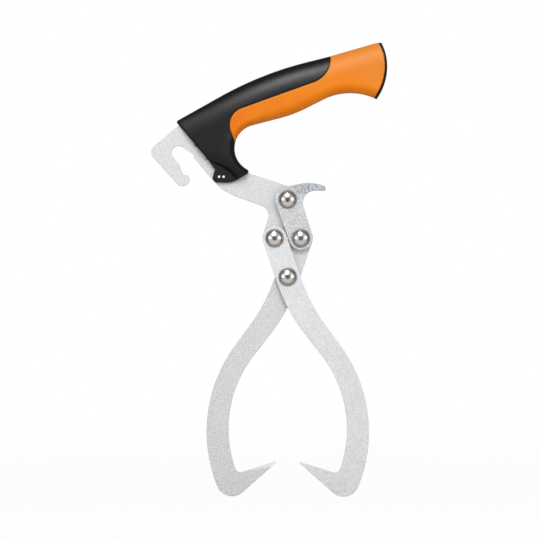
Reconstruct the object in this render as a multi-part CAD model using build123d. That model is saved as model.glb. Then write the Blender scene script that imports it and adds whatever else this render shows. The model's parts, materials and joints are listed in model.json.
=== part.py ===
"""Log tongs: a two-colour handle, a steel frame plate with a hanging hook, a lever and two bowed jaws.

Millimetres. X runs to the right, Y away from the viewer and Z up. The origin is the middle of the hand
grip, straight above the linkage, in the mid-plane of the frame plate. The jaws are modelled closed.
"""
import math
import os

from build123d import *

# Linkage: four equal sides, so lever and front jaw turn alike and the rear jaw keeps its direction
link_length = 34.0
closed_half_angle = 18.8
pivot_drop = 90.0
bar_width = 20.0
boss_extra = 0.7

# Plates lie in two layers with a washer between them at each pivot
plate_thickness = 4.0
plate_edge_break = 0.3
washer_thickness = 0.6
washer_clearance = 0.1
washer_margin = 1.0

# Shoulder rivets: the shoulder runs in the front plate, the tenon is set in the rear plate
shoulder_radius = 4.0
running_clearance = 0.05
tenon_radius = 3.2
head_radius = 7.6
head_height = 4.2
head_land = 0.6
head_clearance = 0.1
tail_head_radius = 6.4
tail_head_height = 3.0

# Jaws, measured from the bottom pivot
shank_angle = 36.5
shank_outer_radius = 150.0
shank_inner_radius = 150.0
bow_reach = 67.6
bow_drop = 129.0
bow_radius = 120.6
bow_end_angle = 21.5
arm_width = 18.3
inner_bow_rise = 2.0
inner_bow_radius = 99.5
inner_shank_angle = 37.9
inner_bow_end_angle = 19.0
heel_radius = 13.4
throat_radius = 5.0
tip_gap = 16.4
tip_drop = 153.5
tip_radius = 0.5
spike_top_slope = 17.4
spike_bottom_slope = 41.6
grind_reach = 27.0
grind_length = 7.0
grind_share = 0.6

# Finger lever, measured from the top pivot
tail_reach = 31.6
tail_thickness = 3.4
tail_rise = 7.2
tail_crest_reach = 20.0
tail_crest_radius = 33.0
tail_front_slope = 10.8
tail_tip_radius = 1.5
tail_root_radius = 10.0

# Frame arm, between the handle and the top pivot
arm_top_slope = 18.1
arm_bottom_slope = 19.9
arm_bottom_drop = 12.3
arm_bend_radius = 45.0
branch_fillet = 9.0

# Hanging hook: distances along and out from the leading edge of the handle
hook_angle = 40.0
hook_top = 2.9
hook_corner_radius = 6.5
hook_root_depth = 1.0
hook_root_radius = 6.0
hook_edge_radius = 0.6
slot_top = 11.5
slot_depth = 30.4
slot_near = 7.8
slot_width = 13.0
slot_radius = 5.6
slot_shoulder = 2.8
finger_width = 12.9
finger_taper = 1.2
finger_outer_radius = 5.8
finger_inner_radius = 5.0
lip_length = 5.0
lip_height = -0.3
notch_length = 3.4
notch_depth = 3.1
notch_radius = 1.6
relief_length = 8.3
relief_radius = 10.0
catch_reach = 15.5
catch_depth = 1.6
catch_length = 1.0

# Tang inside the handle, with holes that the core is moulded through
tang_width = 15.0
tang_cover = 10.0
tang_reach = 38.0
tang_setback = 7.0
tang_bend_radius = 14.0
tang_root_radius = 7.0
tang_corner_radius = 4.0
key_radius = 3.5
key_spacing = 22.0

# Handle side outline, as places from the origin, radii, slopes and lengths
crown_x = -25.5
crown_z = 12.6
crown_radius = 270.0
front_slope = 29.95
front_length = 77.3
rear_slope = 15.35
rear_length = 105.8
butt_height = 46.1
butt_lean = 3.8
butt_radius = 37.0
butt_crown = 1.5
waist_x = 48.5
waist_z = 3.1
waist_radius = 39.0
belly_x = 5.6
belly_z = -18.5
belly_radius = 120.0
belly_slope = 15.5
choil_offset = 36.7
choil_radius = 19.8
lead_length = 50.7
guard_tip_x = -32.3
guard_tip_z = -66.4
lobe_bottom_x = -46.0
lobe_bottom_z = -76.4
lobe_bottom_radius = 20.0
lobe_corner_radius = 1.0
lobe_thickness = 10.0
ear_reach = 3.6
ear_rise = 0.6
ear_neck = 1.6
ear_drop = 3.0
ear_radius = 4.0
ridge_x = -62.5
ridge_z = -79.5
ridge_radius = 20.0
ridge_lap = 3.0

# Handle widths from the butt to the leading edge, and the rounding of its long edges
grip_axis_slope = 17.0
butt_width = 31.0
waist_width = 27.0
belly_width = 29.5
guard_station = -49.0
guard_width = 25.0
lead_width = 20.0
width_bend_radius = 90.0
edge_round = 10.0

# Flats that thin the sides of the handle towards its leading edge and towards the lower rim of the guard
nose_width = 16.0
nose_slope = 6.4
guard_rim_width = 13.0
guard_rim_slope = 24.0

# Soft grip over the core, and the cap on the butt
sleeve_thickness = 3.0
sleeve_top_x = 35.5
sleeve_front_x = -48.2
sleeve_line_z = -0.9
sleeve_slope = 19.7
sleeve_top_radius = 21.0
sleeve_front_radius = 17.0
sleeve_guard_rise = 16.2
sleeve_guard_reach = 17.5
cap_thickness = 2.4
plug_depth = 9.0
plug_height = 16.0
plug_width = 10.0

# Cord eyelets through the lobe and the plate
eyelet_x = -55.3
eyelet_z = -71.0
eyelet_radius = 1.1
eyelet_spacing = 3.8

# How far working outlines run past the shape that trims them, and how near an edge lies to its outline
overrun = 25.0
rim_band = 2.0
rim_tolerance = 0.01


def down(angle):
    """Unit direction at an angle from straight down, positive to the right."""
    turn = math.radians(angle)
    return Vector(math.sin(turn), -math.cos(turn))


def across(angle):
    """Unit direction square to down(angle), on its right-hand side."""
    turn = math.radians(angle)
    return Vector(math.cos(turn), math.sin(turn))


def meet(point_a, direction_a, point_b, direction_b):
    """Crossing of two lines, each given by a point and a direction."""
    gap = point_b - point_a
    turn = direction_a.X * direction_b.Y - direction_a.Y * direction_b.X
    reach = (gap.X * direction_b.Y - gap.Y * direction_b.X) / turn
    return point_a + direction_a * reach


def rounded(corners):
    """Face inside a closed outline of (point, radius) corners, with radii reduced to fit their sides."""
    count = len(corners)
    points = [point for point, radius in corners]
    backs = [(points[i - 1] - points[i]).normalized() for i in range(count)]
    aheads = [(points[(i + 1) % count] - points[i]).normalized() for i in range(count)]
    halves = [math.radians(back.get_angle(ahead)) / 2 for back, ahead in zip(backs, aheads)]
    setbacks = [radius / math.tan(half) for (point, radius), half in zip(corners, halves)]
    room = [1.0] * count
    for i in range(count):
        after = (i + 1) % count
        side = 0.999 * (points[after] - points[i]).length
        wanted = setbacks[i] + setbacks[after]
        if wanted > side:
            room[i] = min(room[i], side / wanted)
            room[after] = min(room[after], side / wanted)
    setbacks = [setback * share for setback, share in zip(setbacks, room)]
    starts = [points[i] + backs[i] * setbacks[i] for i in range(count)]
    ends = [points[i] + aheads[i] * setbacks[i] for i in range(count)]
    edges = []
    for i in range(count):
        if setbacks[i] > 0:
            radius = setbacks[i] * math.tan(halves[i])
            depth = radius / math.sin(halves[i]) - radius
            middle = points[i] + (backs[i] + aheads[i]).normalized() * depth
            edges.append(ThreePointArc(starts[i], middle, ends[i]).edge())
        edges.append(Line(ends[i], starts[(i + 1) % count]).edge())
    return make_face(edges)


def disc(centre, radius):
    """Round face at a point of the side view."""
    return Pos(centre.X, centre.Y) * Circle(radius)


def slab(face, front, back):
    """Solid of a side-view face between two Y positions."""
    return Pos(0, back, 0) * extrude(Plane.XZ * face, amount=back - front)


# Pivots in the side view
pivot_half_width = link_length * math.sin(math.radians(closed_half_angle))
pivot_half_height = link_length * math.cos(math.radians(closed_half_angle))
top_pivot = Vector(0, -pivot_drop)
left_pivot = top_pivot + Vector(-pivot_half_width, -pivot_half_height)
right_pivot = top_pivot + Vector(pivot_half_width, -pivot_half_height)
bottom_pivot = top_pivot + Vector(0, -2 * pivot_half_height)
half_bar = bar_width / 2
boss_radius = half_bar + boss_extra
running_radius = shoulder_radius + running_clearance
washer_radius = half_bar - washer_margin

# Y positions of the two plate layers
rear_back = plate_thickness / 2
rear_front = -plate_thickness / 2
front_back = rear_front - washer_thickness - washer_clearance
front_front = front_back - plate_thickness

# Spike of the right-hand jaw, from the bottom pivot
spike_tip = Vector(tip_gap / 2, -tip_drop)
spike_top = across(-spike_top_slope)
spike_bottom = across(-spike_bottom_slope)

# Handle points in the side view
crown = Vector(crown_x, crown_z)
waist = Vector(waist_x, waist_z)
belly = Vector(belly_x, belly_z)
guard_tip = Vector(guard_tip_x, guard_tip_z)
lobe_bottom = Vector(lobe_bottom_x, lobe_bottom_z)
ridge_centre = Vector(ridge_x, ridge_z)
eyelet = Vector(eyelet_x, eyelet_z)
handle_length = front_length + rear_length
lead_top = crown - across(front_slope) * front_length
lobe_left = lead_top + down(hook_angle) * lead_length
butt_top = crown + across(rear_slope) * rear_length
butt_bottom = butt_top + Vector(-butt_lean, -butt_height)
butt_chord = butt_bottom - butt_top
butt_inward = Vector(butt_chord.Y, -butt_chord.X).normalized()
butt_centre = (butt_top + butt_bottom) * 0.5
butt_centre += butt_inward * math.sqrt(butt_radius**2 - (butt_chord.length / 2) ** 2)
choil_top = belly - across(belly_slope) * choil_offset
choil_centre = choil_top + down(belly_slope) * choil_radius


def break_rims(plate, pivots):
    """Take the sharp edge off a stamped plate all round, leaving its pivot holes square."""
    rims = []
    for edge in plate.edges():
        spot = Vector(edge.center().X, edge.center().Z)
        flat = edge.bounding_box().size.Y < plate_thickness / 10
        if flat and all((spot - pivot).length > running_radius for pivot in pivots):
            rims.append(edge)
    return chamfer(rims, min(plate_edge_break, 0.7 * tip_radius, plate_thickness / 4))


def jaw_outline(side):
    """Side view of a jaw from the bottom pivot; side is 1 for a spike on the right and -1 on the left."""
    bar_run = down(closed_half_angle)
    bar_side = across(closed_half_angle) * half_bar
    upper = Vector(-pivot_half_width, pivot_half_height)
    bow = Vector(bow_reach - bow_radius, -bow_drop)
    inner_bow = Vector(bow_reach - arm_width - inner_bow_radius, inner_bow_rise - bow_drop)
    shank = bow + across(shank_angle) * bow_radius
    shank_run = down(shank_angle)
    bow_end = bow + across(-bow_end_angle) * bow_radius
    end_run = down(-bow_end_angle)
    inner_shank = inner_bow + across(inner_shank_angle) * inner_bow_radius
    inner_shank_run = down(inner_shank_angle)
    inner_end = inner_bow + across(-inner_bow_end_angle) * inner_bow_radius
    inner_end_run = down(-inner_bow_end_angle)
    corners = [
        (upper + bar_side, 0),
        (meet(bar_side, bar_run, shank, shank_run), shank_outer_radius),
        (meet(shank, shank_run, bow_end, end_run), bow_radius),
        (meet(bow_end, end_run, spike_tip, spike_bottom), heel_radius),
        (spike_tip, tip_radius),
        (meet(spike_tip, spike_top, inner_end, inner_end_run), throat_radius),
        (meet(inner_end, inner_end_run, inner_shank, inner_shank_run), inner_bow_radius),
        (meet(inner_shank, inner_shank_run, bar_side * -1, bar_run), shank_inner_radius),
        (upper - bar_side, 0),
    ]
    placed = [(Vector(side * point.X, point.Y), radius) for point, radius in corners]
    return rounded(placed) + Pos(side * upper.X, upper.Y) * Circle(half_bar)


def tip_grind(side, face_y, depth):
    """Cutter that grinds the spike from one face, from nothing at the throat to its depth at the tip."""
    tip = bottom_pivot + Vector(side * spike_tip.X, spike_tip.Y)
    start = tip + Vector(side * spike_top.X, spike_top.Y) * grind_reach
    low = tip + Vector(side * spike_bottom.X, spike_bottom.Y) * grind_length
    at_tip = Vector(tip.X, face_y + depth, tip.Y)
    along = Vector(start.X, face_y, start.Y) - at_tip
    normal = along.cross(Vector(low.X, face_y, low.Y) - at_tip).normalized()
    if normal.Y * depth > 0:
        normal = normal * -1
    span = 4 * grind_reach
    ground_face = Plane(origin=at_tip, x_dir=along, z_dir=normal)
    half_space = ground_face * Pos(0, 0, span / 2) * Box(span, span, span)
    middle = (tip + start) * 0.5
    zone_size = (grind_reach + plate_thickness, 3 * plate_thickness, grind_reach)
    zone = Pos(middle.X, face_y, middle.Y) * Box(*zone_size)
    return half_space & zone


def jaw(side, front, back, hole_radius, upper_pivot, grind_face, grind_depth):
    """Jaw plate with its two pivot holes and its spike ground towards the tip."""
    face = Pos(bottom_pivot.X, bottom_pivot.Y) * jaw_outline(side)
    face = face - disc(upper_pivot, hole_radius) - disc(bottom_pivot, hole_radius)
    plate = break_rims(slab(face, front, back), [upper_pivot, bottom_pivot])
    return plate - tip_grind(side, grind_face, grind_depth)


def lever_outline():
    """Side view of the lever from the top pivot: a link to the right pivot, with a finger tail."""
    side = across(closed_half_angle)
    reach = right_pivot - top_pivot
    end = reach + side * half_bar
    root = meet(end, side * boss_radius - end, Vector(0, tail_rise), Vector(1, 0))
    rise = across(tail_front_slope)
    boss_top = Vector(-rise.Y, rise.X) * boss_radius
    crest = meet(boss_top, rise, Vector(tail_crest_reach, 0), Vector(0, 1))
    corners = [
        (end, 0),
        (root, tail_root_radius),
        (Vector(tail_reach, tail_rise), tail_tip_radius),
        (Vector(tail_reach, tail_rise + tail_thickness), tail_tip_radius),
        (crest, tail_crest_radius),
        (boss_top, 0),
        (side * -boss_radius, 0),
        (reach - side * half_bar, 0),
    ]
    return rounded(corners) + Circle(boss_radius) + disc(reach, half_bar)


def on_hook(along, out):
    """Point of the hanging hook, from distances along and out from the leading edge of the handle."""
    return lead_top + down(hook_angle) * along - across(hook_angle) * out


def frame_outline():
    """Side view of the frame plate: hook, arm, branch to the left pivot and the tang in the handle."""
    slot_far = slot_near + slot_width
    reach = slot_far + finger_width
    slot_start = hook_top + slot_top
    slot_end = slot_start + slot_depth
    lip_start = slot_end - lip_length
    notch = lip_start - notch_length
    catch = slot_start + catch_reach
    side = across(-closed_half_angle)
    branch_end = left_pivot - side * half_bar
    branch_run = branch_end - (top_pivot - side * boss_radius)
    arm_top = across(-arm_top_slope)
    arm_top_point = top_pivot - down(-arm_top_slope) * boss_radius
    arm_bottom = across(-arm_bottom_slope)
    arm_bottom_point = top_pivot + down(-arm_bottom_slope) * arm_bottom_drop
    tang_run = across(belly_slope)
    tang_low = belly - down(belly_slope) * tang_cover
    tang_high = tang_low - down(belly_slope) * tang_width
    upright = Vector(0, 1)
    root = Vector(choil_centre.X - choil_radius - tang_setback, 0)
    tip = Vector(tang_reach, 0)
    corners = [
        (on_hook(hook_top, reach), hook_corner_radius),
        (on_hook(slot_end, reach - finger_taper), finger_outer_radius),
        (on_hook(slot_end, slot_far - lip_height), finger_inner_radius),
        (on_hook(lip_start, slot_far - lip_height), hook_edge_radius),
        (on_hook(notch, slot_far + notch_depth), notch_radius),
        (on_hook(notch - relief_length, slot_far), relief_radius),
        (on_hook(slot_start, slot_far), slot_radius),
        (on_hook(slot_start, slot_near + slot_shoulder), slot_radius),
        (on_hook(catch, slot_near - catch_depth), hook_edge_radius),
        (on_hook(catch + catch_length, slot_near), hook_edge_radius),
        (meet(on_hook(0, slot_near), down(hook_angle), arm_bottom_point, arm_bottom), arm_bend_radius),
        (meet(arm_bottom_point, arm_bottom, branch_end, branch_run), branch_fillet),
        (branch_end, 0),
        (left_pivot + side * half_bar, 0),
        (top_pivot + side * boss_radius, 0),
        (arm_top_point, 0),
        (meet(arm_top_point, arm_top, root, upright), tang_root_radius),
        (meet(root, upright, tang_low, tang_run), tang_bend_radius),
        (meet(tip, upright, tang_low, tang_run), tang_corner_radius),
        (meet(tip, upright, tang_high, tang_run), tang_corner_radius),
        (meet(root, upright, tang_high, tang_run), tang_bend_radius),
        (on_hook(hook_top, -hook_root_depth), hook_root_radius),
    ]
    face = rounded(corners) + disc(top_pivot, boss_radius) + disc(left_pivot, half_bar)
    key_line = belly - down(belly_slope) * (tang_cover + tang_width / 2)
    for step in (-1, 0, 1):
        face = face - disc(key_line + tang_run * (step * key_spacing), key_radius)
    return face - disc(top_pivot, tenon_radius) - disc(left_pivot, tenon_radius)


def body_outline():
    """Side view of the thick part of the handle; it runs on past the butt, and the lobe is left out."""
    guard_run = (guard_tip - lobe_bottom).normalized()
    corners = [
        (lead_top, 0),
        (crown, crown_radius),
        (butt_top + across(rear_slope) * overrun, 0),
        (butt_bottom + (butt_bottom - waist).normalized() * overrun, 0),
        (waist, waist_radius),
        (belly, belly_radius),
        (choil_top, 0),
        (guard_tip + guard_run * (overrun / 4), 0),
        (lobe_bottom, lobe_bottom_radius),
        (Vector(lobe_left.X, lobe_bottom.Y), 0),
        (lobe_left, 0),
    ]
    return rounded(corners) - disc(choil_centre, choil_radius) - disc(ridge_centre, ridge_radius)


def lobe_outline():
    """Side view of the flat lobe below the ridge of the handle."""
    corners = [
        (lobe_left, lobe_corner_radius),
        (lobe_left - down(hook_angle) * ridge_radius, 0),
        (guard_tip, 0),
        (lobe_bottom, lobe_bottom_radius),
        (Vector(lobe_left.X - ear_reach, lobe_bottom.Y + ear_rise), ear_radius),
        (Vector(lobe_left.X - ear_neck, lobe_left.Y - ear_drop), ear_radius),
    ]
    return rounded(corners) & disc(ridge_centre, ridge_radius + ridge_lap)


def planform(inset):
    """Solid that gives the handle its width along the grip axis, set in by a distance on each side."""
    axis = across(grip_axis_slope)
    plane = Plane(origin=(0, 0, 0), x_dir=(axis.X, 0, axis.Y), z_dir=(-axis.Y, 0, axis.X))
    widths = [butt_width, waist_width, belly_width, guard_width, lead_width]
    stations = [butt_top.X + overrun, waist.X, 0, guard_station, lead_top.X - overrun]
    bends = [0, width_bend_radius, width_bend_radius, width_bend_radius, 0]
    right = [(Vector(s, w / 2 - inset), bend) for s, w, bend in zip(stations, widths, bends)]
    left = [(Vector(s, inset - w / 2), bend) for s, w, bend in zip(stations, widths, bends)]
    return extrude(plane * rounded(right + left[::-1]), amount=handle_length, both=True)


def round_off(edges, radius):
    """Round edges by a radius, or by the largest share of it that the shape takes."""
    for share in (1.0, 0.85, 0.7, 0.55, 0.4):
        try:
            return fillet(edges, share * radius)
        except ValueError:
            continue
    raise ValueError("the long edges of the handle take no rounding")


def handle_body(inset):
    """Thick part of the handle with rounded long edges, set in all round by a distance."""
    face = body_outline()
    if inset > 0:
        face = offset(face, amount=-inset)
    body = slab(face, -butt_width, butt_width) & planform(inset)
    chord = butt_top - lead_top
    rims = []
    for edge in body.edges():
        middle = edge @ 0.5
        spot = Vector(middle.X, middle.Z)
        drop = chord.Y * (spot.X - lead_top.X) - chord.X * (spot.Y - lead_top.Y)
        lengthwise = abs((edge @ 0).Y - (edge @ 1).Y) < lead_width / 4 < abs(middle.Y)
        at_rim = min(side.distance_to(spot) for side in face.edges()) < rim_tolerance
        above = drop < (rim_band + inset) * chord.length
        behind_guard = spot.X > choil_centre.X - choil_radius - inset - rim_band
        below = behind_guard and spot.Y > guard_tip.Y + rim_band + inset
        if lengthwise and at_rim and (above or below) and spot.X < butt_top.X + overrun / 2:
            rims.append(edge)
    return round_off(rims, edge_round - inset)


def flank_cut(side, place, inward, half, slope, length):
    """Cutter beyond a flat flank that lies half a width off the mid-plane at a place and spreads inward."""
    spread = math.radians(slope)
    corner = (place.X, side * half, place.Y)
    normal = (-inward.X * math.sin(spread), side * math.cos(spread), -inward.Y * math.sin(spread))
    flat = Plane(origin=corner, x_dir=(-inward.Y, 0, inward.X), z_dir=normal)
    return flat * Pos(0, 0, length / 2) * Box(length, length, length)


def butt_zone(inset):
    """Everything of the handle in front of the barrel-shaped butt, with the barrel set in by a distance."""
    reach = butt_radius - inset
    rim = reach - butt_crown
    side = butt_width / 2
    crown_line = ThreePointArc((rim, -side), (reach, 0), (rim, side))
    closing = Polyline((rim, side), (0, side), (0, -side), (rim, -side))
    barrel = turned(crown_line.edges() + closing.edges(), butt_centre)
    span = 2 * handle_length
    front = Pos(butt_centre.X - span / 2, 0, butt_centre.Y) * Box(span, butt_width, span)
    return barrel + front


def sleeve_zone():
    """Side view of the part of the handle that the soft grip covers."""
    line = across(sleeve_slope)
    start = Vector(sleeve_top_x, sleeve_line_z + sleeve_top_x * math.tan(math.radians(sleeve_slope)))
    front = meet(start, line, Vector(sleeve_front_x, 0), Vector(0, 1))
    corners = [
        (Vector(start.X, butt_top.Y + overrun), 0),
        (start, sleeve_top_radius),
        (front, sleeve_front_radius),
        (Vector(front.X, choil_centre.Y + sleeve_guard_rise), sleeve_front_radius),
        (Vector(choil_centre.X - sleeve_guard_reach, choil_centre.Y), 0),
        (choil_centre, 0),
        (Vector(butt_top.X + overrun, choil_centre.Y), 0),
        (Vector(butt_top.X + overrun, butt_top.Y + overrun), 0),
    ]
    return rounded(corners)


def turned(profile, pivot):
    """Solid of revolution about a pivot, from a profile of (radius, Y)."""
    return Pos(pivot.X, 0, pivot.Y) * revolve(make_face(profile), Axis.Y)


def rivet(pivot):
    """Shoulder rivet: domed head in front, running shoulder, tenon and a flatter closing head behind."""
    head_base = front_front - head_clearance
    head_top = head_base - head_height
    tail_top = rear_back + tail_head_height
    dome_radius = (head_radius**2 + (head_height - head_land) ** 2) / (2 * (head_height - head_land))
    tail_dome_radius = (tail_head_radius**2 + tail_head_height**2) / (2 * tail_head_height)
    dome = RadiusArc((head_radius, head_base - head_land), (0, head_top), dome_radius)
    shaft = Polyline(
        (head_radius, head_base - head_land),
        (head_radius, head_base),
        (shoulder_radius, head_base),
        (shoulder_radius, rear_front),
        (tenon_radius, rear_front),
        (tenon_radius, rear_back),
        (tail_head_radius, rear_back),
    )
    tail_dome = RadiusArc((tail_head_radius, rear_back), (0, tail_top), -tail_dome_radius)
    axis = Line((0, tail_top), (0, head_top))
    return turned(dome.edges() + shaft.edges() + tail_dome.edges() + axis.edges(), pivot)


def washer(pivot):
    """Thin washer on the rear plate, around the shoulder of a rivet."""
    ring = disc(pivot, washer_radius) - disc(pivot, running_radius)
    return slab(ring, rear_front - washer_thickness, rear_front)


# Steel plates
plate = slab(frame_outline(), rear_front, rear_back)
eyelets = [eyelet + Vector(step * eyelet_spacing / 2, 0) for step in (-1, 1)]
for spot in eyelets:
    plate = plate - slab(disc(spot, eyelet_radius), -lobe_thickness, lobe_thickness)
lever_face = Pos(top_pivot.X, top_pivot.Y) * lever_outline()
lever_face = lever_face - disc(top_pivot, running_radius) - disc(right_pivot, running_radius)
grind_depth = grind_share * plate_thickness

# Handle: the moulded body is parted into core, soft grip and butt cap
lobe = slab(lobe_outline(), -lobe_thickness / 2, lobe_thickness / 2)
body = handle_body(0) & butt_zone(0)
guard_rim = guard_tip - lobe_bottom
above_rim = Vector(-guard_rim.Y, guard_rim.X).normalized()
rim_span = 2 * guard_rim.length + overrun / 2
for side in (-1, 1):
    nose_cut = flank_cut(side, lead_top, across(grip_axis_slope), nose_width / 2, nose_slope, handle_length)
    guard_cut = flank_cut(side, guard_tip, above_rim, guard_rim_width / 2, guard_rim_slope, rim_span)
    body = body - nose_cut - guard_cut
whole = body + lobe
capped = whole & butt_zone(cap_thickness)
sleeve = slab(sleeve_zone(), -butt_width, butt_width) & capped
sleeve = sleeve - handle_body(sleeve_thickness)
plug_run = math.degrees(math.atan2(-butt_inward.Y, -butt_inward.X))
plug_at = butt_centre - butt_inward * (butt_radius - cap_thickness - plug_depth / 2)
plug = Pos(plug_at.X, 0, plug_at.Y) * Rot(0, -plug_run, 0) * Box(plug_depth, plug_width, plug_height)
plug = plug & butt_zone(cap_thickness)
cap = (whole - butt_zone(cap_thickness)) + plug
core = capped - sleeve - plug - plate
for spot in eyelets:
    core = core - slab(disc(spot, eyelet_radius), -lobe_thickness, lobe_thickness)

nodes = {
    "frame_plate": break_rims(plate, [top_pivot, left_pivot] + eyelets),
    "trigger_lever": break_rims(slab(lever_face, front_front, front_back), [top_pivot, right_pivot]),
    "front_jaw": jaw(1, front_front, front_back, running_radius, left_pivot, front_back, -grind_depth),
    "rear_jaw": jaw(-1, rear_front, rear_back, tenon_radius, right_pivot, rear_front, grind_depth),
    "handle_core": core,
    "soft_grip": sleeve,
    "butt_cap": cap,
}
pivots = {"top": top_pivot, "left": left_pivot, "right": right_pivot, "bottom": bottom_pivot}
for name, pivot in pivots.items():
    nodes[name + "_rivet"] = rivet(pivot)
    nodes[name + "_washer"] = washer(pivot)

os.makedirs("parts", exist_ok=True)
for name, solid in nodes.items():
    export_step(solid, f"parts/{name}.step")
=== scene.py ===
"""Looks of the log tongs: moulded two-colour handle, blasted plates, polished rivets and a white studio."""
import json
import math

import bmesh
import bpy
import numpy as np
from bpy.props import FloatProperty, FloatVectorProperty, PointerProperty
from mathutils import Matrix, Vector


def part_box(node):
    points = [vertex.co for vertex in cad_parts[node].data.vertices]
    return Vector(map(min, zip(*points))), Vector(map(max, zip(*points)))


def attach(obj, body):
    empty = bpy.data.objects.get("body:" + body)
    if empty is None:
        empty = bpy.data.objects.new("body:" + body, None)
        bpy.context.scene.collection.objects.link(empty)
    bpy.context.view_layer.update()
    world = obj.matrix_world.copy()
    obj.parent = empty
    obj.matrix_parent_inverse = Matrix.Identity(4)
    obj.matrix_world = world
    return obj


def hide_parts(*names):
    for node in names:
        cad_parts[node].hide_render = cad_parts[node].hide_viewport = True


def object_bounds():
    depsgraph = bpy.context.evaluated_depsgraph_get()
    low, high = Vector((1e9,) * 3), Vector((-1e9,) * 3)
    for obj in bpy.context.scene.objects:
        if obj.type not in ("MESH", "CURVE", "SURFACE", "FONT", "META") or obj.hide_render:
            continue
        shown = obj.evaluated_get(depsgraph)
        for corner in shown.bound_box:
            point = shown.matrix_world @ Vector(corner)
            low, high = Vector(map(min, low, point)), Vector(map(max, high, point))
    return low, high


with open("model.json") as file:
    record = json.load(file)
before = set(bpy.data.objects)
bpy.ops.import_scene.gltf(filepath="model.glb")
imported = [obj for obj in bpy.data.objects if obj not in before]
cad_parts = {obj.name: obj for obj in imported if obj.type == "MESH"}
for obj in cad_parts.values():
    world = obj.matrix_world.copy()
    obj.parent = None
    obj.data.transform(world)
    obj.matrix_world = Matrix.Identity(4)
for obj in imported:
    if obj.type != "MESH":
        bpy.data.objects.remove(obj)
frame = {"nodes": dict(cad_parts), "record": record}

bl_info = {
    "name": "Log Tongs Looks",
    "version": (1, 0, 0),
    "blender": (4, 5, 0),
    "location": "3D View > Sidebar > Tongs",
    "description": "Dresses the packed log tongs with modelled surfaces, finishes and a studio",
    "category": "Object",
}

CAD_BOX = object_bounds()
PIVOTS = ("top", "left", "right", "bottom")
BODY_OF = {node: body for body, nodes in frame["record"]["behaviour"]["bodies"].items() for node in nodes}
SHARP_ANGLE = math.radians(38)       # edges that turn more are shaded sharp
WELD = 2e-6                          # metres within which points of two grids are one
WHITE = (1.0, 1.0, 1.0)
TAIL_TINT = (0.745, 0.775, 0.805)    # what the steel's colour is multiplied by on the lever's tail
CORE_GLOSS, CAP_GLOSS = 0.31, 0.25   # specular levels of the two black mouldings

# Numbers of points along the grids of the pieces.
CORE_ALONG, GUARD_UP, NECK_UP, BACK_UP, STRIP_ALONG = 96, 60, 36, 60, 150
GRIP_ALONG, GRIP_UP = 190, 72
CAP_UP, CAP_ACROSS = 90, 61
NIB_AROUND, NIB_UP = 25, 13
LOBE_FINE, LOBE_AROUND, LOBE_OUT = 2400, 1600, 30
OVAL_ARC, OVAL_CHORD, RING_OUT = 41, 15, 7
DOME_OUT, RIM_OUT, TAIL_OUT, TURN_AROUND = 28, 9, 20, 97
TENT_OFF, TENT_AROUND = 73, 97
TIP_HALF = 8                         # segments on each half of the guard's rounded tip


def length(name, description, default):
    """Size property in metres."""
    return FloatProperty(name=name, description=description, default=default, unit="LENGTH", precision=5)


def lengths(name, description, *values):
    """Property of several sizes or of a place, in metres; a side-view place is its X and Z."""
    return FloatVectorProperty(name=name, description=description, default=values, size=len(values),
                               unit="LENGTH")


def slope(name, description, degrees):
    """Angle property, given in degrees."""
    return FloatProperty(name=name, description=description, default=math.radians(degrees), subtype="ANGLE")


def share(name, description, default):
    """Plain number property."""
    return FloatProperty(name=name, description=description, default=default, precision=4)


def colour(name, description, default):
    """Linear colour property."""
    return FloatVectorProperty(name=name, description=description, default=default, size=3, subtype="COLOR",
                               min=0.0, max=1.0)


def watts(name, description, default):
    """Lamp power property."""
    return FloatProperty(name=name, description=description, default=default, unit="POWER")


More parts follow.
